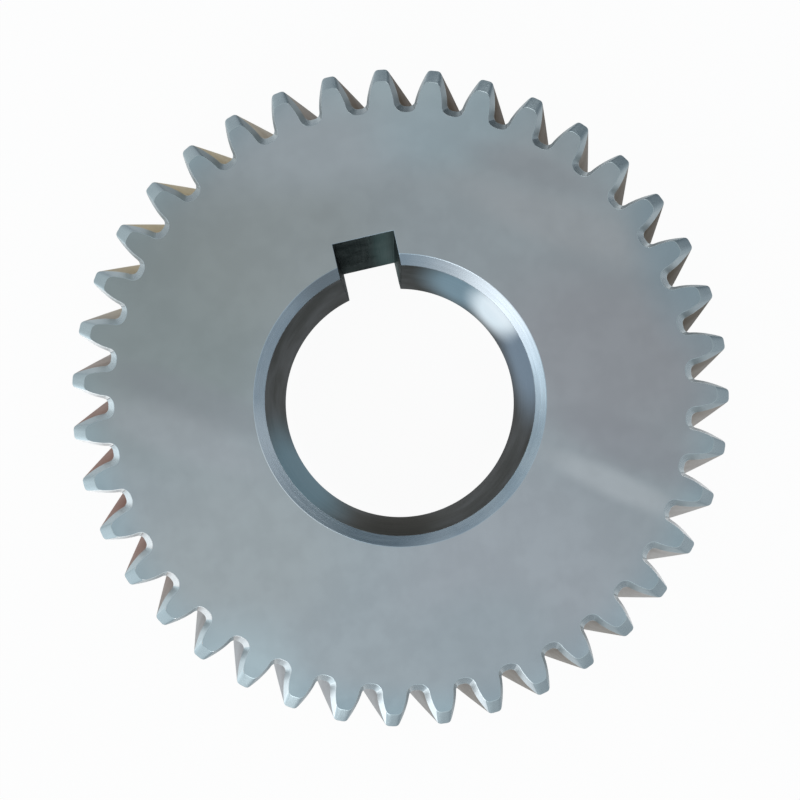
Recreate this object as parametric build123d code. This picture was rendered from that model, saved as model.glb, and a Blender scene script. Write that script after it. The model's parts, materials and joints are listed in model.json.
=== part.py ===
from build123d import *
from math import acos, atan, cos, degrees, hypot, pi, radians, sin, sqrt, tan
import os

# A right-hand helical gear for a parallel keyed shaft, in millimetres.
# The bore axis is Z, the back face lies on Z = 0 and the front face looks up.
# The keyway points along +Y, and on the front face one tooth is centred on it.

# Teeth, as the cutter makes them
tooth_count = 39
normal_module = 4.0
normal_pressure_angle = 20.0
helix_angle = 15.0
addendum_factor = 1.0
dedendum_factor = 1.35
root_fillet = 1.6
backlash_thinning = 0.1
face_width = 45.0

# Chamfer over the tips and bevel round each tooth space, the same at both ends.
# Both start at the same height below the face.
tip_chamfer = 3.6
flank_bevel = 1.1
root_bevel = 2.0
bevel_height = 1.6

# Bore and keyway
bore_diameter = 70.0
bore_chamfer = 2.5
keyway_width = 16.0
keyway_depth = 7.7

# Modelling values: how far a cut runs past what it opens, the largest share of a
# tooth space's floor that one fillet takes, and how finely the teeth are drawn
cut_overrun = 0.5
fillet_share = 0.9
fillet_flats = 2
flank_points = 4
helix_bands = 3

# Sizes that follow
transverse_module = normal_module / cos(radians(helix_angle))
transverse_pressure_angle = atan(tan(radians(normal_pressure_angle)) / cos(radians(helix_angle)))
pitch_radius = transverse_module * tooth_count / 2
base_radius = pitch_radius * cos(transverse_pressure_angle)
tip_radius = pitch_radius + addendum_factor * normal_module
root_radius = pitch_radius - dedendum_factor * normal_module
bore_radius = bore_diameter / 2
tooth_pitch = 2 * pi / tooth_count
twist_per_mm = tan(radians(helix_angle)) / pitch_radius
keyway_direction = pi / 2


def involute(pressure_angle):
    """The involute function of an angle in radians."""
    return tan(pressure_angle) - pressure_angle


def polar(radius, angle):
    """A point of the XY plane."""
    return Vector(radius * cos(angle), radius * sin(angle))


def half_space(radius, inset):
    """Half the angle of a tooth space at a radius, with its flanks set back by inset."""
    at_pitch = tooth_pitch / 4 + backlash_thinning / (2 * pitch_radius)
    at_base = at_pitch - involute(transverse_pressure_angle) + inset / base_radius
    return at_base + involute(acos(min(base_radius / radius, 1)))


def root_corner(floor_radius, inset):
    """The fillet between the floor of a space and its flank.

    Returns the radius where it meets the flank, the angle of its centre, the angle
    that it turns through, and its own radius, which grows with the inset.
    """
    half_floor = floor_radius * half_space(floor_radius, inset)
    fillet = min(root_fillet + inset, fillet_share * half_floor)
    centre_radius = floor_radius + fillet
    if centre_radius > hypot(base_radius, fillet):
        # The fillet meets the involute, whose normal touches the base circle
        normal = sqrt(centre_radius**2 - base_radius**2)
        foot_radius = hypot(base_radius, normal - fillet)
        offset = atan(normal / base_radius) - atan((normal - fillet) / base_radius)
        sweep = atan(base_radius / normal)
    else:
        # The fillet meets the radial line below the base circle
        foot_radius = sqrt(centre_radius**2 - fillet**2)
        offset = atan(fillet / foot_radius)
        sweep = acos(fillet / centre_radius)
    return foot_radius, half_space(foot_radius, inset) - offset, sweep, fillet


def space_outline(floor_radius, outer_radius, inset):
    """The edges of one tooth space centred on the X axis, and of the tip after it."""
    foot_radius, centre_angle, sweep, fillet = root_corner(floor_radius, inset)
    centre = polar(floor_radius + fillet, centre_angle)
    turns = [sweep * flat / fillet_flats for flat in range(fillet_flats + 1)]
    corner = [centre + polar(fillet, centre_angle + pi - turn) for turn in turns]
    step = (outer_radius - foot_radius) / (flank_points - 1)
    radii = [foot_radius + step * place for place in range(flank_points)]
    flank = Spline(*[polar(radius, half_space(radius, inset)) for radius in radii])
    left = [Line(start, end) for start, end in zip(corner, corner[1:])] + [flank]
    right = [edge.mirror(Plane.XZ) for edge in reversed(left)]
    floor = Line(polar(floor_radius, -centre_angle), corner[0])
    # A tip is so narrow that a straight edge stands for its arc
    tip_half = half_space(outer_radius, inset)
    tip = Line(polar(outer_radius, tip_half), polar(outer_radius, tooth_pitch - tip_half))
    return right + [floor] + left + [tip]


def gear_outline(height, floor_radius, outer_radius, inset):
    """All the edges of the toothed outline, turned to its height on the helix."""
    first_space = keyway_direction + tooth_pitch / 2 + (height - face_width) * twist_per_mm
    one_space = space_outline(floor_radius, outer_radius, inset)
    edges = []
    for tooth in range(tooth_count):
        place = Pos(Z=height) * Rot(Z=degrees(first_space + tooth * tooth_pitch))
        edges += [place * edge for edge in one_space]
    return edges


def toothed_body():
    """The helical teeth on a solid core, chamfered and bevelled at both faces."""
    band = (face_width - 2 * bevel_height) / helix_bands
    heights = [bevel_height + band * place for place in range(helix_bands + 1)]
    bevelled = (root_radius - root_bevel, tip_radius - tip_chamfer, flank_bevel)
    whole = (root_radius, tip_radius, 0)
    outlines = [gear_outline(0, *bevelled)]
    outlines += [gear_outline(height, *whole) for height in heights]
    outlines += [gear_outline(face_width, *bevelled)]
    sides = []
    for lower, upper in zip(outlines, outlines[1:]):
        sides += [Face.make_surface_from_curves(*pair) for pair in zip(lower, upper)]
    ends = [Face(Wire(outlines[0])), Face(Wire(outlines[-1]))]
    return Solid(Shell(sides + ends))


def bore():
    """The turned bore with a chamfer at each mouth, as the solid that it removes."""
    mouth_radius = bore_radius + bore_chamfer + cut_overrun
    profile = Polyline(
        (0, -cut_overrun),
        (mouth_radius, -cut_overrun),
        (bore_radius, bore_chamfer),
        (bore_radius, face_width - bore_chamfer),
        (mouth_radius, face_width + cut_overrun),
        (0, face_width + cut_overrun),
        close=True,
    )
    return revolve(Plane.XZ * make_face(profile), Axis.Z)


def keyway():
    """The keyway, through both faces, as the solid that it removes."""
    roof = bore_radius + keyway_depth
    length = face_width + 2 * cut_overrun
    slot = Pos(roof / 2, 0, face_width / 2) * Box(roof, keyway_width, length)
    return Rot(Z=degrees(keyway_direction)) * slot


def helical_gear():
    """The finished gear, one solid."""
    return toothed_body() - bore() - keyway()


os.makedirs("parts", exist_ok=True)
gear = helical_gear()
gear.label = "helical_gear"
export_step(gear, "parts/helical_gear.step")
print("tip diameter", round(2 * tip_radius, 2), "pitch diameter", round(2 * pitch_radius, 2))
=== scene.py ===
import json
import logging
from dataclasses import dataclass, field
from enum import Enum
from math import acos, atan, cos, hypot, pi, radians, sin, sqrt, tan

import bmesh
import bpy
from mathutils import Matrix, Vector
from mathutils.kdtree import KDTree


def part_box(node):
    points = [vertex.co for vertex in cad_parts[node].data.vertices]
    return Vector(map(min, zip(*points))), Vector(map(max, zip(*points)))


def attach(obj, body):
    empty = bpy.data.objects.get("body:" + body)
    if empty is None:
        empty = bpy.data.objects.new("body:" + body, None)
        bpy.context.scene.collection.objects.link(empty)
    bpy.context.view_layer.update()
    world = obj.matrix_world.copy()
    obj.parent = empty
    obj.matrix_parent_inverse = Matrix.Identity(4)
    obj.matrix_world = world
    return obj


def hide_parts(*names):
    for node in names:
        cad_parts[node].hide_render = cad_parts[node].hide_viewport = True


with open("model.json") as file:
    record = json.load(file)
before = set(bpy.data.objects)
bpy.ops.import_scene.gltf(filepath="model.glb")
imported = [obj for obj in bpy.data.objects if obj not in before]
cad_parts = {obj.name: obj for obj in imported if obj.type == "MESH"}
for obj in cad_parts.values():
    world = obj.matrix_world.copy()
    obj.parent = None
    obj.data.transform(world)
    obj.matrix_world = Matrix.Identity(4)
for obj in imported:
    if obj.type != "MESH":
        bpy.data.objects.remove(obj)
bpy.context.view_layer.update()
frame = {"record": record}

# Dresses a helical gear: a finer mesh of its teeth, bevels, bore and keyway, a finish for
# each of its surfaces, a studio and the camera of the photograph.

LOG = logging.getLogger("helical_gear")
GEAR_NODE = "helical_gear"
MM = 0.001

# A Mix node has sockets of the same names for each kind of value, so those of its
# colours are called by number
MIX_A, MIX_B, MIX_RESULT = 6, 7, 2

Colour = tuple[float, float, float, float]
Place = tuple[float, float, float]
Socket = bpy.types.NodeSocket
Tree = bpy.types.NodeTree


def srgb(code: str) -> Colour:
    """Turns an sRGB hex colour into the linear colour that a shader takes.

    Args:
        code: the colour as six hex digits.

    Returns:
        Linear red, green, blue and an alpha of 1.
    """
    parts = [int(code[place : place + 2], 16) / 255 for place in (0, 2, 4)]
    red, green, blue = (
        part / 12.92 if part <= 0.04045 else ((part + 0.055) / 1.055) ** 2.4 for part in parts
    )
    return red, green, blue, 1.0


def polar(radius: float, angle: float) -> Vector:
    """A flat point at a radius and an angle in radians."""
    return Vector((radius * cos(angle), radius * sin(angle)))


def add_node(
    tree: Tree, kind: str, settings: dict[str, object], inputs: dict[str | int, object]
) -> bpy.types.Node:
    """Adds one shader node with its settings and links.

    Args:
        tree: the node tree that it goes into.
        kind: the node's type name.
        settings: the node's own properties by name.
        inputs: a value or an output socket for each input, by name or number.

    Returns:
        The new node.
    """
    node = tree.nodes.new(kind)
    for name, value in settings.items():
        setattr(node, name, value)
    for name, value in inputs.items():
        if isinstance(value, Socket):
            tree.links.new(value, node.inputs[name])
        else:
            node.inputs[name].default_value = value
    return node


def empty_tree(owner: bpy.types.Material | bpy.types.World) -> Tree:
    """Gives a material or a world its nodes, with none in place yet.

    Args:
        owner: the new material or world.

    Returns:
        Its empty node tree.
    """
    owner.use_nodes = True
    owner.node_tree.nodes.clear()
    return owner.node_tree


def deselect_all() -> None:
    """Leaves edit mode and selects nothing."""
    if bpy.context.object and bpy.context.object.mode != "OBJECT":
        bpy.ops.object.mode_set(mode="OBJECT")
    bpy.ops.object.select_all(action="DESELECT")


class Lay(Enum):
    """Which way a tool's marks run: how fast they change along X, Y and Z."""

    ACROSS_FACE = (1.0, 0.02, 1.0)
    ROUND_AXIS = (0.03, 0.03, 1.0)
    ALONG_AXIS = (1.0, 1.0, 0.02)
    EVERY_WAY = (1.0, 1.0, 1.0)


@dataclass(frozen=True)
class Tint:
    """A soft patch of another colour, for the steel's own tones and stains and for painted
    highlights and shade.

    The place is the patch's centre and the reach its half size along X, Y and Z, in
    millimetres, before the patch is turned about Z by some degrees. The fade is the
    share of the reach over which it comes in from its rim.
    """

    place: Place
    reach: Place
    colour: str
    amount: float
    fade: float = 0.7
    turn: float = 0.0

    def over(self, tree: Tree, spot: Socket, under: Colour | Socket, share: float) -> Socket:
        """Lays the patch over a colour.

        Args:
            tree: the material's node tree.
            spot: the place on the object.
            under: the colour below the patch.
            share: how much of the patch's amount is laid on.

        Returns:
            The colour with the patch on it.
        """
        seat = add_node(
            tree,
            "ShaderNodeMapping",
            {"vector_type": "TEXTURE"},
            {
                "Vector": spot,
                "Location": [part * MM for part in self.place],
                "Rotation": (0.0, 0.0, radians(self.turn)),
                "Scale": [part * MM for part in self.reach],
            },
        )
        ball = add_node(
            tree,
            "ShaderNodeTexGradient",
            {"gradient_type": "SPHERICAL"},
            {"Vector": seat.outputs["Vector"]},
        )
        mask = add_node(
            tree,
            "ShaderNodeMapRange",
            {"interpolation_type": "SMOOTHSTEP"},
            {
                "Value": ball.outputs["Fac"],
                "From Max": self.fade,
                "To Max": self.amount * share,
            },
        )
        patch = add_node(
            tree,
            "ShaderNodeMix",
            {"data_type": "RGBA"},
            {"Factor": mask.outputs["Result"], MIX_A: under, MIX_B: srgb(self.colour)},
        )
        return patch.outputs[MIX_RESULT]


@dataclass(frozen=True)
class Cloud:
    """Irregular clouds of another colour, all over a surface.

    The size is that of the largest clouds, in millimetres. The detail is how often they
    break up into finer ones, and the ratio is how strong each finer set is. The spread
    is the part of the noise over which a cloud comes in from its rim.
    """

    colour: str
    size_mm: float
    amount: float = 1.0
    detail: float = 6.0
    ratio: float = 0.6
    spread: tuple[float, float] = (0.35, 0.65)

    def over(self, tree: Tree, spot: Socket, under: Colour | Socket) -> Socket:
        """Lays the clouds over a colour.

        Args:
            tree: the material's node tree.
            spot: the place on the object.
            under: the colour below the clouds.

        Returns:
            The clouded colour.
        """
        noise = add_node(
            tree,
            "ShaderNodeTexNoise",
            {},
            {
                "Vector": spot,
                "Scale": 1 / (self.size_mm * MM),
                "Detail": self.detail,
                "Roughness": self.ratio,
            },
        )
        mask = add_node(
            tree,
            "ShaderNodeMapRange",
            {"interpolation_type": "SMOOTHSTEP"},
            {
                "Value": noise.outputs["Fac"],
                "From Min": self.spread[0],
                "From Max": self.spread[1],
                "To Max": self.amount,
            },
        )
        clouded = add_node(
            tree,
            "ShaderNodeMix",
            {"data_type": "RGBA"},
            {"Factor": mask.outputs["Result"], MIX_A: under, MIX_B: srgb(self.colour)},
        )
        return clouded.outputs[MIX_RESULT]


@dataclass(frozen=True)
class SteelFinish:
    """One finish of bare steel, as a tool left it, with light and shade painted on some of its
    patches.

    The clouds are the slow change of colour over the surface, and the mottle is finer and
    lies over the whole. The roughness is its least and its most. The marks are the tool's
    own, drawn coarser than real ones, which are too fine to show. The edge tint is what
    the steel reflects at a glancing view, where the patches show in full. The body share
    is how much of each patch shows at a straight view.
    """

    name: str
    base: str
    cloud: Cloud
    roughness: tuple[float, float]
    lay: Lay
    mark_mm: float
    mark_depth_mm: float
    edge_tint: str = "ffffff"
    tints: tuple[Tint, ...] = ()
    body_share: float = 1.0
    mottle: Cloud | None = None
    mark_detail: float = 2.0
    mark_spread: tuple[float, float] = (0.3, 0.7)

    def material(self) -> bpy.types.Material:
        """Builds the finish as a metal with clouded colour and fine tool marks.

        Returns:
            The new material.
        """
        material = bpy.data.materials.new(self.name)
        tree = empty_tree(material)
        spot = add_node(tree, "ShaderNodeTexCoord", {}, {}).outputs["Object"]
        body, edge = self.colours(tree, spot)
        marks = self.tool_marks(tree, spot)
        sheen = add_node(
            tree,
            "ShaderNodeMapRange",
            {},
            {
                "Value": marks,
                "From Min": self.mark_spread[0],
                "From Max": self.mark_spread[1],
                "To Min": self.roughness[0],
                "To Max": self.roughness[1],
            },
        )
        relief = add_node(
            tree,
            "ShaderNodeBump",
            {},
            {"Height": marks, "Strength": 1.0, "Distance": self.mark_depth_mm * MM},
        )
        steel = add_node(
            tree,
            "ShaderNodeBsdfPrincipled",
            {},
            {
                "Base Color": body,
                "Metallic": 1.0,
                "Roughness": sheen.outputs["Result"],
                "Specular Tint": edge,
                "Normal": relief.outputs["Normal"],
            },
        )
        add_node(tree, "ShaderNodeOutputMaterial", {}, {"Surface": steel.outputs["BSDF"]})
        return material

    def colours(self, tree: Tree, spot: Socket) -> tuple[Socket, Colour | Socket]:
        """The steel's colours with their clouds and soft patches.

        Args:
            tree: the material's node tree.
            spot: the place on the object.

        Returns:
            The colour at a straight view and the one at a glancing view.
        """
        body = self.cloud.over(tree, spot, srgb(self.base))
        edge = srgb(self.edge_tint)
        for tint in self.tints:
            body = tint.over(tree, spot, body, self.body_share)
            edge = tint.over(tree, spot, edge, 1.0)
        if self.mottle:
            body = self.mottle.over(tree, spot, body)
        return body, edge

    def tool_marks(self, tree: Tree, spot: Socket) -> Socket:
        """The height of the tool's marks, drawn out along their lay.

        Args:
            tree: the material's node tree.
            spot: the place on the object.

        Returns:
            The height, from 0 to 1.
        """
        drawn_out = add_node(
            tree, "ShaderNodeMapping", {}, {"Vector": spot, "Scale": self.lay.value}
        )
        marks = add_node(
            tree,
            "ShaderNodeTexNoise",
            {},
            {
                "Vector": drawn_out.outputs["Vector"],
                "Scale": 1 / (self.mark_mm * MM),
                "Detail": self.mark_detail,
            },
        )
        return marks.outputs["Fac"]


# Surface-ground steel: satin and almost even, mauve-grey on the disc, greener to one side
# and a little blue-green out on the teeth, with the room's reflections painted on as duller
# and brighter patches and bands
GROUND_FACE = SteelFinish(
    name="surface_ground_steel",
    base="a9bac1",
    cloud=Cloud("9dadb5", 28.0),
    roughness=(0.23, 0.26),
    lay=Lay.ACROSS_FACE,
    mark_mm=0.5,
    mark_depth_mm=0.00012,
    tints=(
        # The disc inside the teeth
        Tint((0, 0, 45), (82, 82, 82), "aeb1b4", 0.7, fade=0.14),
        # Its greener side, dulled with painted shade
        Tint((-54, 32, 45), (46, 50, 50), "989f9e", 0.85),
        Tint((-20, 44, 45), (40, 30, 40), "a8adac", 0.6),
        # Its mauve parts, and painted reflections that make other parts paler and duller
        Tint((48, 52, 45), (60, 60, 60), "b4bbbf", 0.6),
        Tint((54, 0, 45), (44, 32, 40), "acabb0", 0.7, turn=-33),
        Tint((20, -50, 45), (45, 45, 45), "b0b0b6", 0.4),
        Tint((-50, -28, 45), (40, 34, 40), "aeb2b2", 0.5),
        Tint((9, -66, 45), (30, 20, 30), "a4adb2", 0.6, turn=-13),
        # A painted reflection: the bright side, beyond the keyway
        Tint((2, 70, 45), (42, 20, 30), "bec5ca", 0.75),
        Tint((28, 66, 45), (28, 16, 30), "b2c6ce", 0.5),
        # Painted reflections of the room: slanting bands, dull and bright in turn
        Tint((-52, 12, 45), (34, 8, 30), "999ba0", 0.5, turn=-33),
        Tint((-57, 4, 45), (32, 9, 30), "b9babf", 0.4, turn=-33),
        Tint((46, 50, 45), (26, 6, 30), "a4a5aa", 0.35, turn=-33),
        Tint((50, 35, 45), (36, 9, 30), "bcbdc0", 0.5, turn=-33),
        Tint((55, -24, 45), (30, 9, 30), "a2a2a8", 0.5, turn=-37),
        Tint((49, -33, 45), (27, 5, 30), "d0d3d6", 0.45, turn=-37),
        # Painted highlights and shade on the ends of the teeth on three sides
        Tint((-58, -62, 45), (26, 26, 26), "bccacf", 0.7),
        Tint((18, 88, 45), (34, 24, 30), "bccbd0", 0.7),
        Tint((78, 26, 45), (16, 40, 30), "99abb5", 0.7),
    ),
    mottle=Cloud("000000", 7.0, amount=0.045, detail=4.0, ratio=0.5),
)
# Hobbed steel, grey-brown, with the room's reflections painted on it: redder and yellower
# patches, painted shade on two sides and brighter patches on two others, all of it seen
# mostly at a glance
HOBBED_FLANK = SteelFinish(
    name="hobbed_steel",
    base="b0aeab",
    cloud=Cloud("9c9893", 9.0),
    roughness=(0.3, 0.42),
    lay=Lay.EVERY_WAY,
    mark_mm=0.6,
    mark_depth_mm=0.003,
    edge_tint="b8b6b3",
    tints=(
        # Painted reflections, reddish and yellowish
        Tint((-88, -5, 25), (55, 45, 70), "ad8e86", 0.9),
        Tint((-52, 68, 25), (50, 45, 70), "c6bca1", 0.9),
        # Painted shade, dark
        Tint((35, 80, 25), (65, 50, 70), "625b54", 0.9),
        Tint((78, 22, 25), (45, 46, 70), "787570", 0.95),
        # Painted reflections, bright
        Tint((-46, -66, 25), (60, 45, 70), "d4dae0", 0.9),
        Tint((62, -52, 25), (38, 40, 70), "d2d3d4", 0.8),
    ),
    body_share=0.35,
)
# Turned chamfers over the tooth tips: brighter than the ground face, with painted shade on
# one side
TIP_CHAMFER = SteelFinish(
    name="turned_tip_steel",
    base="bcc8cc",
    cloud=Cloud("b0bdc2", 12.0),
    roughness=(0.26, 0.34),
    lay=Lay.EVERY_WAY,
    mark_mm=0.5,
    mark_depth_mm=0.0003,
    tints=(Tint((-72, -36, 25), (46, 46, 70), "a0adb2", 0.85),),
)
# Bevels along the flanks that look clockwise from the front: satin, with a painted highlight
# on the side away from the keyway and painted shade beside it
FLANK_BEVEL = SteelFinish(
    name="bevelled_flank_steel",
    base="bac5c9",
    cloud=Cloud("aebabf", 12.0),
    roughness=(0.32, 0.4),
    lay=Lay.EVERY_WAY,
    mark_mm=0.5,
    mark_depth_mm=0.0004,
    tints=(
        Tint((-14, -78, 25), (60, 38, 70), "e8eef1", 1.0),
        Tint((-78, -20, 25), (36, 40, 70), "c4ced2", 0.4),
        Tint((4, 79, 25), (42, 32, 70), "acb4b8", 0.7),
        Tint((-30, 68, 25), (40, 26, 70), "98a1a4", 0.7),
    ),
)
# Bevels along the teeth's other flanks: rough from the file, so they scatter the light,
# and painted highlights make them palest on two sides
FILED_BEVEL = SteelFinish(
    name="filed_bevel_steel",
    base="c4cbce",
    cloud=Cloud("b8c0c3", 12.0),
    roughness=(0.6, 0.7),
    lay=Lay.EVERY_WAY,
    mark_mm=0.5,
    mark_depth_mm=0.0004,
    tints=(
        Tint((-84, 14, 25), (48, 66, 70), "ffffff", 1.0),
        Tint((66, -54, 25), (52, 60, 70), "ffffff", 1.0),
    ),
)
# Bevels round the roots: smooth, with a painted highlight on one side and painted shade on
# the others
ROOT_BEVEL = SteelFinish(
    name="bevelled_root_steel",
    base="c0cace",
    cloud=Cloud("b4bfc4", 12.0),
    roughness=(0.22, 0.32),
    lay=Lay.EVERY_WAY,
    mark_mm=0.5,
    mark_depth_mm=0.0004,
    tints=(
        Tint((-64, -38, 25), (48, 48, 70), "cccccc", 0.9),
        Tint((-42, 64, 25), (46, 34, 70), "a8b0b3", 0.85),
        Tint((36, 66, 25), (56, 38, 70), "929a9e", 0.9),
        Tint((30, -68, 25), (42, 32, 70), "b2bbbf", 0.5),
    ),
)
# Chamfers at the bore's mouths: bluer, with the tool's rings, painted highlights on two sides
# and painted shade beside the keyway
TURNED_CHAMFER = SteelFinish(
    name="turned_chamfer_steel",
    base="b2c0ca",
    cloud=Cloud("a4b4c0", 10.0),
    roughness=(0.2, 0.32),
    lay=Lay.ROUND_AXIS,
    mark_mm=0.4,
    mark_depth_mm=0.0003,
    tints=(
        Tint((30, 22, 25), (28, 26, 60), "dce2e8", 1.0),
        Tint((-35, -16, 25), (28, 30, 60), "f0f9ff", 1.0),
        Tint((-12, 38, 25), (16, 14, 60), "8c959c", 0.8),
    ),
)
# Turned bore: fine rings, painted dark for the shade that it reflects, with painted bluer
# reflections on two sides and a painted highlight in one spot
TURNED_BORE = SteelFinish(
    name="turned_bore_steel",
    base="7c7e7e",
    cloud=Cloud("6a6b68", 14.0),
    roughness=(0.28, 0.4),
    lay=Lay.ROUND_AXIS,
    mark_mm=0.5,
    mark_depth_mm=0.002,
    edge_tint="7c7e80",
    tints=(
        # Painted reflections, bluer on two sides, and a patch of painted shade
        Tint((-31, -14, 25), (20, 22, 60), "8ea3ad", 0.8),
        Tint((-9, -36, 25), (16, 16, 60), "646461", 0.8),
        Tint((36, 4, 36), (18, 22, 44), "a0aebb", 0.9),
        Tint((24, 27, 30), (16, 14, 40), "a6bcc8", 0.8),
        # The painted highlight, wider at the front
        Tint((30, 18, 31), (11, 11, 36), "ecf6fc", 1.0),
        Tint((31, 17, 42), (9, 9, 20), "f2faff", 0.9, fade=0.8),
    ),
)
# Broached keyway: lines along the bore, painted almost black for the shade in it, with a
# painted highlight in one corner
BROACHED_KEYWAY = SteelFinish(
    name="broached_steel",
    base="626868",
    cloud=Cloud("505656", 8.0),
    roughness=(0.35, 0.5),
    lay=Lay.ALONG_AXIS,
    mark_mm=0.3,
    mark_depth_mm=0.003,
    edge_tint="5e6666",
    tints=(Tint((8, 41, 25), (9, 8, 60), "8c9a9a", 0.5),),
)


@dataclass(frozen=True)
class ToothForm:
    """The involute teeth in the plane square to the bore, in millimetres and degrees."""

    tooth_count: int = 39
    normal_module: float = 4.0
    normal_pressure_angle: float = 20.0
    helix_angle: float = 15.0
    addendum_factor: float = 1.0
    dedendum_factor: float = 1.35
    root_fillet: float = 1.6
    fillet_share: float = 0.9
    backlash_thinning: float = 0.1
    tip_round: float = 0.8
    tip_round_share: float = 0.7
    fillet_steps: int = 8
    flank_steps: int = 10
    round_steps: int = 4
    tip_steps: int = 3

    @property
    def pitch_radius(self) -> float:
        """The radius of the pitch circle."""
        return self.normal_module / cos(radians(self.helix_angle)) * self.tooth_count / 2

    @property
    def pressure_angle(self) -> float:
        """The pressure angle square to the bore, in radians."""
        return atan(tan(radians(self.normal_pressure_angle)) / cos(radians(self.helix_angle)))

    @property
    def base_radius(self) -> float:
        """The radius of the circle that the involutes unwind from."""
        return self.pitch_radius * cos(self.pressure_angle)

    @property
    def tip_radius(self) -> float:
        """The radius over the tips of the teeth."""
        return self.pitch_radius + self.addendum_factor * self.normal_module

    @property
    def root_radius(self) -> float:
        """The radius at the floor of a tooth space."""
        return self.pitch_radius - self.dedendum_factor * self.normal_module

    @property
    def tooth_pitch(self) -> float:
        """The angle from one tooth to the next, in radians."""
        return 2 * pi / self.tooth_count

    @property
    def twist_per_mm(self) -> float:
        """How far the right-hand helix turns for each millimetre of height."""
        return tan(radians(self.helix_angle)) / self.pitch_radius

    @staticmethod
    def involute(angle: float) -> float:
        """The involute function of an angle in radians."""
        return tan(angle) - angle

    def half_space(self, radius: float, inset: float) -> float:
        """Half the angle of a tooth space at a radius.

        Args:
            radius: the radius to measure at.
            inset: how far the flanks are set back.

        Returns:
            The angle in radians.
        """
        at_pitch = self.tooth_pitch / 4 + self.backlash_thinning / (2 * self.pitch_radius)
        at_base = at_pitch - self.involute(self.pressure_angle) + inset / self.base_radius
        return at_base + self.involute(acos(min(self.base_radius / radius, 1)))

    def fillet_arc(self, floor: float, inset: float) -> tuple[float, list[Vector]]:
        """The fillet between the floor of a tooth space and its flank.

        Args:
            floor: the radius of the space's floor.
            inset: how far the flank is set back.

        Returns:
            The radius where the fillet meets the flank, and its points from the floor up.
        """
        half_floor = floor * self.half_space(floor, inset)
        fillet = min(self.root_fillet + inset, self.fillet_share * half_floor)
        centre_radius = floor + fillet
        normal = sqrt(max(centre_radius**2 - self.base_radius**2, 0))
        if normal > fillet:
            # The fillet meets the involute, whose normal touches the base circle
            foot = hypot(self.base_radius, normal - fillet)
            offset = atan(normal / self.base_radius) - atan((normal - fillet) / self.base_radius)
            sweep = atan(self.base_radius / normal)
        else:
            # The fillet meets the radial line below the base circle
            foot = sqrt(centre_radius**2 - fillet**2)
            offset = atan(fillet / foot)
            sweep = acos(fillet / centre_radius)
        angle = self.half_space(foot, inset) - offset
        centre = polar(centre_radius, angle)
        turns = [sweep * step / self.fillet_steps for step in range(self.fillet_steps + 1)]
        return foot, [centre + polar(fillet, angle + pi - turn) for turn in turns]

    def tip_rounding(self, outer: float, inset: float) -> float:
        """How far the rounding of a tip's corner reaches along its sides.

        Args:
            outer: the radius of the tip.
            inset: how far the flanks are set back.

        Returns:
            The length in millimetres.
        """
        half_tip = outer * (self.tooth_pitch / 2 - self.half_space(outer, inset))
        return min(self.tip_round + inset, self.tip_round_share * half_tip)

    def half_space_points(self, floor: float, outer: float, inset: float) -> list[Vector]:
        """The points of one side of a tooth space that is centred on the X axis.

        Args:
            floor: the radius of the space's floor.
            outer: the radius of the tip.
            inset: how far the flank is set back.

        Returns:
            Points from the floor's end up to the tip, in millimetres.
        """
        foot, points = self.fillet_arc(floor, inset)
        rounding = self.tip_rounding(outer, inset)
        rise = (outer - rounding - foot) / self.flank_steps
        radii = [foot + rise * step for step in range(1, self.flank_steps + 1)]
        points += [polar(radius, self.half_space(radius, inset)) for radius in radii]
        corner = self.half_space(outer, inset)
        start, middle = points[-1], polar(outer, corner)
        end = polar(outer, corner + rounding / outer)
        for step in range(1, self.round_steps + 1):
            share = step / self.round_steps
            points.append(start.lerp(middle, share).lerp(middle.lerp(end, share), share))
        return points

    def outline(self, floor: float, outer: float, inset: float, turn: float) -> list[Vector]:
        """The whole toothed outline.

        Args:
            floor: the radius of the spaces' floors.
            outer: the radius of the tips.
            inset: how far the flanks are set back.
            turn: the angle of the first space's centre, in radians.

        Returns:
            Points counter-clockwise round the gear, in metres.
        """
        left = self.half_space_points(floor, outer, inset)
        right = [Vector((point.x, -point.y)) for point in reversed(left)]
        tip = self.half_space(outer, inset) + self.tip_rounding(outer, inset) / outer
        land = self.tooth_pitch - 2 * tip
        turns = [tip + land * step / self.tip_steps for step in range(1, self.tip_steps)]
        one_space = right + left + [polar(outer, angle) for angle in turns]
        points = []
        for tooth in range(self.tooth_count):
            spin = Matrix.Rotation(turn + tooth * self.tooth_pitch, 2)
            points += [(spin @ point) * MM for point in one_space]
        return points


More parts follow.
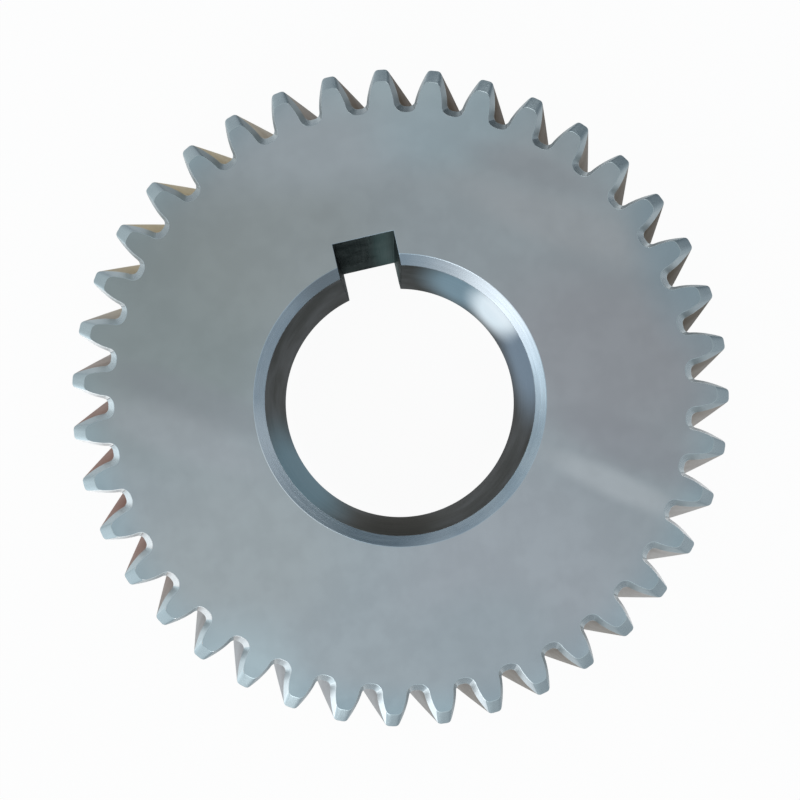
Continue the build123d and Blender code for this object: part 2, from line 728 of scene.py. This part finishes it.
@dataclass
class HelicalGear:
    """The gear in one mesh: teeth, bevels, bore, keyway and the finish of each surface.

    Lengths are in millimetres. An edge that turns by more degrees than edge_turn is
    rounded. The normals, the bevel turn and the margins tell which finish a face gets.
    """

    teeth: ToothForm = field(default_factory=ToothForm)
    tip_chamfer: float = 3.6
    flank_bevel: float = 1.1
    root_bevel: float = 2.0
    bevel_height: float = 1.6
    helix_bands: int = 16
    bore_chamfer: float = 2.5
    bore_facets: int = 360
    keyway_width: float = 16.0
    keyway_depth: float = 7.7
    cut_overrun: float = 1.0
    edge_break: float = 0.12
    edge_segments: int = 2
    edge_turn: float = 20.0
    shading_weight: int = 100
    cap_normal: float = 0.999
    flat_normal: float = 0.995
    chamfer_normal: float = 0.3
    bevel_turn: float = 0.6
    root_margin: float = 1.0
    keyway_side_margin: float = 0.1
    keyway_mouth_margin: float = 1.5
    face_width: float = field(init=False)
    bore_radius: float = field(init=False)

    def __post_init__(self) -> None:
        """Takes the width and the bore from the frame, in millimetres."""
        low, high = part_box(GEAR_NODE)
        self.face_width = (high[2] - low[2]) / MM
        bore = next(mount for mount in frame["record"]["mounts"] if mount["name"] == "bore")
        self.bore_radius = bore["dims"]["r_mm"]

    def build(self) -> bpy.types.Object:
        """Models the gear and dresses it.

        Returns:
            The finished piece.
        """
        gear = self.toothed_blank()
        self.cut(gear, self.bore_cutter())
        self.cut(gear, self.keyway_cutter())
        self.break_edges(gear)
        self.dress(gear)
        gear.name = "gear_steel"
        gear.data.name = "gear_steel"
        return gear

    def sections(self) -> tuple[list[Vector], list[Vector]]:
        """The outline at an end face and the whole outline just below it.

        Returns:
            Both outlines, in metres, turned as they are at the back face.
        """
        teeth = self.teeth
        first = pi / 2 + teeth.tooth_pitch / 2 - self.face_width * teeth.twist_per_mm
        bevelled_floor = teeth.root_radius - self.root_bevel
        bevelled_tip = teeth.tip_radius - self.tip_chamfer
        bevelled = teeth.outline(bevelled_floor, bevelled_tip, self.flank_bevel, first)
        whole = teeth.outline(teeth.root_radius, teeth.tip_radius, 0.0, first)
        return bevelled, whole

    def toothed_blank(self) -> bpy.types.Object:
        """Extrudes the toothed outline up the helix, band by band.

        Returns:
            The blank with its teeth and bevels, and no bore.
        """
        bevelled, whole = self.sections()
        deselect_all()
        bpy.ops.mesh.primitive_circle_add(
            vertices=len(whole), radius=self.teeth.tip_radius * MM, fill_type="NGON"
        )
        blank = bpy.context.object
        for vertex, point in zip(blank.data.vertices, bevelled):
            vertex.co = (point.x, point.y, 0)
        bpy.ops.object.mode_set(mode="EDIT")
        bpy.ops.mesh.select_all(action="SELECT")
        self.raise_band(self.bevel_height)
        self.reshape_selected(blank, bevelled, whole, self.bevel_height)
        band = (self.face_width - 2 * self.bevel_height) / self.helix_bands
        for _ in range(self.helix_bands):
            self.raise_band(band)
        self.raise_band(self.bevel_height)
        self.reshape_selected(blank, whole, bevelled, self.face_width)
        bpy.ops.mesh.select_all(action="SELECT")
        bpy.ops.mesh.normals_make_consistent(inside=False)
        bpy.ops.object.mode_set(mode="OBJECT")
        return blank

    def raise_band(self, height: float) -> None:
        """Extrudes the selected cap and turns it along the helix.

        Args:
            height: the band's height in millimetres.
        """
        bpy.ops.mesh.extrude_region_move(TRANSFORM_OT_translate={"value": (0, 0, height * MM)})
        bpy.ops.transform.rotate(
            value=-height * self.teeth.twist_per_mm,
            orient_axis="Z",
            orient_type="GLOBAL",
            center_override=(0, 0, 0),
        )

    def reshape_selected(
        self, blank: bpy.types.Object, old: list[Vector], new: list[Vector], height: float
    ) -> None:
        """Moves the selected ring from one section to another.

        Args:
            blank: the blank, in edit mode.
            old: the section that the ring has now, as at the back face.
            new: the section that it gets.
            height: the ring's height in millimetres.
        """
        turn = Matrix.Rotation(height * self.teeth.twist_per_mm, 2)
        places = KDTree(len(old))
        for index, point in enumerate(old):
            places.insert((turn @ point).to_3d(), index)
        places.balance()
        mesh = bmesh.from_edit_mesh(blank.data)
        for vertex in mesh.verts:
            if vertex.select:
                index = places.find((vertex.co.x, vertex.co.y, 0))[1]
                point = turn @ new[index]
                vertex.co = (point.x, point.y, vertex.co.z)
        bmesh.update_edit_mesh(blank.data)

    def bore_cutter(self) -> bpy.types.Object:
        """A plug with the bore's wall and the chamfers at its mouths.

        Returns:
            The cutter.
        """
        deselect_all()
        bpy.ops.mesh.primitive_cylinder_add(
            vertices=self.bore_facets,
            radius=self.bore_radius * MM,
            depth=(self.face_width - 2 * self.bore_chamfer) * MM,
            location=(0, 0, self.face_width / 2 * MM),
        )
        bpy.ops.object.transform_apply(location=True)
        plug = bpy.context.object
        flare = self.bore_chamfer + self.cut_overrun
        growth = 1 + flare / self.bore_radius
        for side in (-1, 1):
            self.select_cap(plug, side)
            bpy.ops.mesh.extrude_region_move(
                TRANSFORM_OT_translate={"value": (0, 0, side * flare * MM)}
            )
            bpy.ops.transform.resize(value=(growth, growth, 1))
            bpy.ops.object.mode_set(mode="OBJECT")
        return plug

    def select_cap(self, plug: bpy.types.Object, side: int) -> None:
        """Enters edit mode with only the cap at one end selected.

        Args:
            plug: the round plug.
            side: 1 for the cap that looks up and -1 for the one that looks down.
        """
        bpy.ops.object.mode_set(mode="EDIT")
        bpy.ops.mesh.select_mode(type="FACE")
        bpy.ops.mesh.select_all(action="DESELECT")
        mesh = bmesh.from_edit_mesh(plug.data)
        for face in mesh.faces:
            face.select = face.normal.z * side > self.cap_normal
        bmesh.update_edit_mesh(plug.data)

    def keyway_cutter(self) -> bpy.types.Object:
        """A bar with the keyway's width and roof, longer than the gear is wide.

        Returns:
            The cutter.
        """
        deselect_all()
        roof = self.bore_radius + self.keyway_depth
        length = self.face_width + 2 * self.cut_overrun
        bpy.ops.mesh.primitive_cube_add(
            size=MM,
            location=(0, roof / 2 * MM, self.face_width / 2 * MM),
            scale=(self.keyway_width, roof, length),
        )
        bpy.ops.object.transform_apply(location=True, scale=True)
        return bpy.context.object

    @staticmethod
    def cut(gear: bpy.types.Object, cutter: bpy.types.Object) -> None:
        """Takes a cutter out of the gear and removes the cutter.

        Args:
            gear: the gear so far.
            cutter: the solid to take out of it.
        """
        deselect_all()
        bpy.context.view_layer.objects.active = gear
        gear.select_set(True)
        cut = gear.modifiers.new("cut", "BOOLEAN")
        cut.operation = "DIFFERENCE"
        cut.solver = "EXACT"
        cut.object = cutter
        bpy.ops.object.modifier_apply(modifier=cut.name)
        bpy.data.objects.remove(cutter)

    def break_edges(self, gear: bpy.types.Object) -> None:
        """Rounds the sharp edges a little, so that they catch the light.

        Args:
            gear: the gear with its bore and keyway.
        """
        deselect_all()
        gear.select_set(True)
        bpy.context.view_layer.objects.active = gear
        bpy.ops.object.shade_smooth()
        edges = gear.modifiers.new("edges", "BEVEL")
        edges.width = self.edge_break * MM
        edges.segments = self.edge_segments
        edges.limit_method = "ANGLE"
        edges.angle_limit = radians(self.edge_turn)
        edges.use_clamp_overlap = True
        bpy.ops.object.modifier_apply(modifier=edges.name)
        shading = gear.modifiers.new("shading", "WEIGHTED_NORMAL")
        shading.weight = self.shading_weight
        bpy.ops.object.modifier_apply(modifier=shading.name)

    def dress(self, gear: bpy.types.Object) -> None:
        """Gives each surface the finish that its tool left, with its painted light and shade.

        Args:
            gear: the modelled gear.
        """
        finishes = [
            GROUND_FACE,
            HOBBED_FLANK,
            TIP_CHAMFER,
            FLANK_BEVEL,
            FILED_BEVEL,
            ROOT_BEVEL,
            TURNED_CHAMFER,
            TURNED_BORE,
            BROACHED_KEYWAY,
        ]
        gear.data.materials.clear()
        for finish in finishes:
            gear.data.materials.append(finish.material())
        for face in gear.data.polygons:
            face.material_index = finishes.index(self.finish_at(face.center / MM, face.normal))

    def finish_at(self, place: Vector, normal: Vector) -> SteelFinish:
        """Which finish a face has.

        Args:
            place: the face's centre, in millimetres.
            normal: the face's normal.

        Returns:
            The finish.
        """
        radius = place.xy.length
        depth = min(place.z, self.face_width - place.z)
        if abs(normal.z) > self.flat_normal:
            return GROUND_FACE
        if radius > self.bore_radius + self.keyway_depth + self.root_margin:
            return HOBBED_FLANK if depth > self.bevel_height else self.bevel_at(place, normal)
        if abs(normal.z) > self.chamfer_normal:
            return TURNED_CHAMFER
        between_sides = abs(place.x) <= self.keyway_width / 2 + self.keyway_side_margin
        if between_sides and place.y > self.bore_radius - self.keyway_mouth_margin:
            return BROACHED_KEYWAY
        return TURNED_BORE

    def bevel_at(self, place: Vector, normal: Vector) -> SteelFinish:
        """Which finish a face of the bevels at the teeth's ends has.

        Args:
            place: the face's centre, in millimetres.
            normal: the face's normal.

        Returns:
            The finish.
        """
        outward = normal.xy.normalized().dot(place.xy.normalized())
        if outward < self.bevel_turn:
            return FILED_BEVEL if place.xy.cross(normal.xy) > 0 else FLANK_BEVEL
        return TIP_CHAMFER if place.xy.length > self.teeth.pitch_radius else ROOT_BEVEL


@dataclass(frozen=True)
class Glow:
    """A soft patch of light or shade round one direction of the room.

    The core is where it is full and the reach where it ends, both in degrees from the
    direction, whose azimuth and elevation are in degrees as well.
    """

    azimuth: float
    elevation: float
    core: float
    reach: float
    colour: str
    strength: float = 1.0

    def over(self, tree: Tree, way: Socket, under: Colour | Socket) -> Socket:
        """Lays the patch over a colour.

        Args:
            tree: the node tree.
            way: the direction looked in, of length 1.
            under: the colour below the patch.

        Returns:
            The colour with the patch on it.
        """
        flat = polar(cos(radians(self.elevation)), radians(self.azimuth))
        target = (flat.x, flat.y, sin(radians(self.elevation)))
        cosine = add_node(
            tree, "ShaderNodeVectorMath", {"operation": "DOT_PRODUCT"}, {0: way, 1: target}
        )
        share = add_node(
            tree,
            "ShaderNodeMapRange",
            {"interpolation_type": "SMOOTHSTEP"},
            {
                "Value": cosine.outputs["Value"],
                "From Min": cos(radians(self.reach)),
                "From Max": cos(radians(self.core)),
            },
        )
        light = [part * self.strength for part in srgb(self.colour)]
        patch = add_node(
            tree,
            "ShaderNodeMix",
            {"data_type": "RGBA"},
            {"Factor": share.outputs["Result"], MIX_A: under, MIX_B: light},
        )
        return patch.outputs[MIX_RESULT]


@dataclass(frozen=True)
class Softbox:
    """One square lamp that looks at the gear, with lengths in metres."""

    name: str
    place: Place
    side: float
    watts: float
    colour: str

    def build(self) -> None:
        """Adds the lamp, which the camera doesn't see."""
        deselect_all()
        bpy.ops.object.light_add(type="AREA", location=self.place)
        lamp = bpy.context.object
        lamp.name = self.name
        lamp.rotation_euler = (-Vector(self.place)).to_track_quat("-Z", "Y").to_euler()
        lamp.data.size = self.side
        lamp.data.energy = self.watts
        lamp.data.color = srgb(self.colour)[:3]
        lamp.visible_camera = False


@dataclass(frozen=True)
class Studio:
    """The floor, the room's light and the lamps, with lengths in metres.

    The camera and reflections see the floor white near the gear, and in the room's
    colour further out. The glow is the share of that in what they see, and the rest is
    the floor's own matt surface with the gear's shadow.
    """

    floor_radius: float = 2.0
    floor_sides: int = 96
    floor_colour: str = "f0f0f0"
    near_colour: str = "ffffff"
    glow: float = 0.95
    near_floor: float = 0.175
    far_floor: float = 0.4
    wall: str = "bcc2c7"
    patches: tuple[Glow, ...] = (
        # A pale ceiling
        Glow(0.0, 90.0, 30.0, 55.0, "c8cdcf"),
        # A bright screen high up on one side
        Glow(238.0, 57.0, 27.0, 46.0, "e6eef2"),
        # A dark screen opposite, and the darker floor below it
        Glow(46.0, 4.0, 12.0, 52.0, "78828a"),
        Glow(52.0, -10.0, 8.0, 38.0, "646e73"),
        # A pale wall
        Glow(162.0, 24.0, 18.0, 58.0, "d8dfe2"),
        # A duller stretch of floor, and the brightly lit one
        Glow(286.0, -12.0, 10.0, 40.0, "a4abb0"),
        Glow(196.0, -8.0, 16.0, 46.0, "f4fbff", 1.65),
    )
    softboxes: tuple[Softbox, ...] = (
        Softbox("key_softbox", (-0.42, -0.6, 0.58), side=0.3, watts=0.8, colour="f8fdff"),
        Softbox("fill_softbox", (0.4, 0.62, 0.58), side=0.3, watts=0.5, colour="ffffff"),
    )

    def build(self) -> None:
        """Makes the floor, the room's light and the lamps."""
        self.floor()
        self.room()
        for softbox in self.softboxes:
            softbox.build()

    def surroundings(self, tree: Tree, way: Socket) -> Colour | Socket:
        """The room's colour in a direction.

        Args:
            tree: the node tree.
            way: the direction looked in, of length 1.

        Returns:
            The colour of the walls with each patch of light or shade on them.
        """
        colour = srgb(self.wall)
        for patch in self.patches:
            colour = patch.over(tree, way, colour)
        return colour

    def room(self) -> None:
        """Makes the light of the room all round."""
        world = bpy.data.worlds.new("room")
        bpy.context.scene.world = world
        tree = empty_tree(world)
        way = add_node(tree, "ShaderNodeTexCoord", {}, {}).outputs["Generated"]
        light = self.surroundings(tree, way)
        sky = add_node(tree, "ShaderNodeBackground", {}, {"Color": light})
        add_node(tree, "ShaderNodeOutputWorld", {}, {"Surface": sky.outputs["Background"]})

    def floor(self) -> None:
        """Makes the pale floor that the gear lies on."""
        deselect_all()
        bpy.ops.mesh.primitive_circle_add(
            vertices=self.floor_sides, radius=self.floor_radius, fill_type="NGON"
        )
        floor = bpy.context.object
        floor.name = "floor"
        floor.data.materials.append(self.paper())

    def paper(self) -> bpy.types.Material:
        """The floor's matt paper, which stays almost white to the camera and reflections.

        Returns:
            The new material.
        """
        material = bpy.data.materials.new("pale_matt_paper")
        tree = empty_tree(material)
        matt = add_node(tree, "ShaderNodeBsdfDiffuse", {}, {"Color": srgb(self.floor_colour)})
        glow = add_node(tree, "ShaderNodeEmission", {}, {"Color": self.floor_light(tree)})
        lit = add_node(
            tree,
            "ShaderNodeMixShader",
            {},
            {0: self.glow, 1: matt.outputs["BSDF"], 2: glow.outputs["Emission"]},
        )
        path = add_node(tree, "ShaderNodeLightPath", {}, {})
        seen = path.outputs["Is Camera Ray"]
        for kind in ("Is Glossy Ray", "Is Transmission Ray"):
            either = add_node(
                tree, "ShaderNodeMath", {"operation": "MAXIMUM"}, {0: seen, 1: path.outputs[kind]}
            )
            seen = either.outputs["Value"]
        shown = add_node(
            tree,
            "ShaderNodeMixShader",
            {},
            {0: seen, 1: matt.outputs["BSDF"], 2: lit.outputs["Shader"]},
        )
        add_node(tree, "ShaderNodeOutputMaterial", {}, {"Surface": shown.outputs["Shader"]})
        return material

    def floor_light(self, tree: Tree) -> Socket:
        """The floor's colour to the camera: white near the gear, then the room's.

        Args:
            tree: the node tree of the floor's material.

        Returns:
            The colour.
        """
        spot = add_node(tree, "ShaderNodeTexCoord", {}, {}).outputs["Object"]
        away = add_node(tree, "ShaderNodeVectorMath", {"operation": "LENGTH"}, {0: spot})
        way = add_node(tree, "ShaderNodeVectorMath", {"operation": "NORMALIZE"}, {0: spot})
        far = self.surroundings(tree, way.outputs["Vector"])
        fade = add_node(
            tree,
            "ShaderNodeMapRange",
            {"interpolation_type": "SMOOTHSTEP"},
            {
                "Value": away.outputs["Value"],
                "From Min": self.near_floor,
                "From Max": self.far_floor,
            },
        )
        colour = add_node(
            tree,
            "ShaderNodeMix",
            {"data_type": "RGBA"},
            {"Factor": fade.outputs["Result"], MIX_A: srgb(self.near_colour), MIX_B: far},
        )
        return colour.outputs[MIX_RESULT]


@dataclass(frozen=True)
class PhotoCamera:
    """The camera that took the picture, as fitted to the gear's circles and its keyway.

    Lengths are in millimetres from the bore's centre on the front face, angles in
    degrees, and pixels count in a square frame.
    """

    frame_px: float = 800.0
    focal_px: float = 828.0
    centre_px: tuple[float, float] = (395.3, 436.5)
    keyway_angle: float = 102.8
    tilt_x: float = 1.46
    tilt_y: float = -0.2
    offset: tuple[float, float] = (1.2, 9.1)
    distance: float = 212.0
    sensor: float = 36.0
    nearest: float = 10.0

    def build(self) -> None:
        """Makes the camera and gives it to the scene."""
        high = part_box(GEAR_NODE)[1]
        tilt_x = Matrix.Rotation(radians(self.tilt_x), 3, "X")
        tilt_y = Matrix.Rotation(radians(self.tilt_y), 3, "Y")
        spin = Matrix.Rotation(radians(self.keyway_angle - 90), 3, "Z")
        turn = (tilt_x @ tilt_y @ spin).transposed()
        seat = Vector((-self.offset[0], -self.offset[1], self.distance))
        deselect_all()
        bpy.ops.object.camera_add(location=turn @ seat * MM + Vector((0, 0, high[2])))
        camera = bpy.context.object
        camera.name = "photo_camera"
        camera.rotation_euler = turn.to_euler()
        camera.data.sensor_width = self.sensor
        camera.data.lens = self.focal_px / self.frame_px * self.sensor
        camera.data.shift_x = 1 / 2 - self.centre_px[0] / self.frame_px
        camera.data.shift_y = self.centre_px[1] / self.frame_px - 1 / 2
        camera.data.clip_start = self.nearest * MM
        bpy.context.scene.camera = camera


def main() -> None:
    """Builds the gear, the studio and the camera, and logs what it made."""
    logging.basicConfig(level=logging.INFO, format="%(name)s: %(message)s")
    bpy.context.scene.view_settings.view_transform = "Standard"
    gear = HelicalGear().build()
    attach(gear, "root")
    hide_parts(GEAR_NODE)
    LOG.info("gear: %d faces", len(gear.data.polygons))
    studio = Studio()
    studio.build()
    LOG.info("studio: floor, room and %d lamps", len(studio.softboxes))
    PhotoCamera().build()
    LOG.info("camera placed")


if __name__ == "__main__":
    main()
